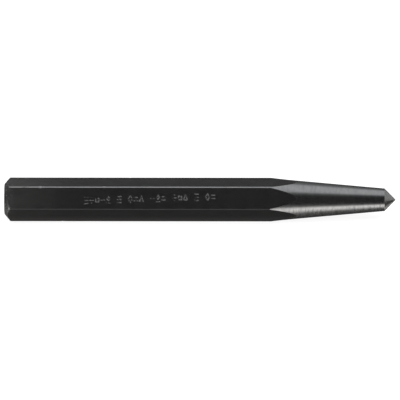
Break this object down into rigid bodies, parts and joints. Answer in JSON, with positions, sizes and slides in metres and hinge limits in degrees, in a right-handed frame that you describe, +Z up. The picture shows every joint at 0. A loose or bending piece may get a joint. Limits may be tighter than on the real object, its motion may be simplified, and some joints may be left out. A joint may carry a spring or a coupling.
{
  "type": "center punch",
  "caption": "Hexagonal steel center punch with a chamfered striking head, a long ground taper and a 90 degree point, in a black oxide finish.",
  "frame": {"origin": "on the surface that the punch lies on, below the middle of its length and of its width", "axes": "+X along the punch from the striking face to the point, +Z up, square to the flat that it rests on, +Y across the bar"},
  "size_m": [0.162, 0.0182, 0.0159],
  "materials": {
    "black_oxide_steel": "satin"
  },
  "bodies": {
    "root": {"punch_body": "black_oxide_steel"}
  },
  "joints": []
}
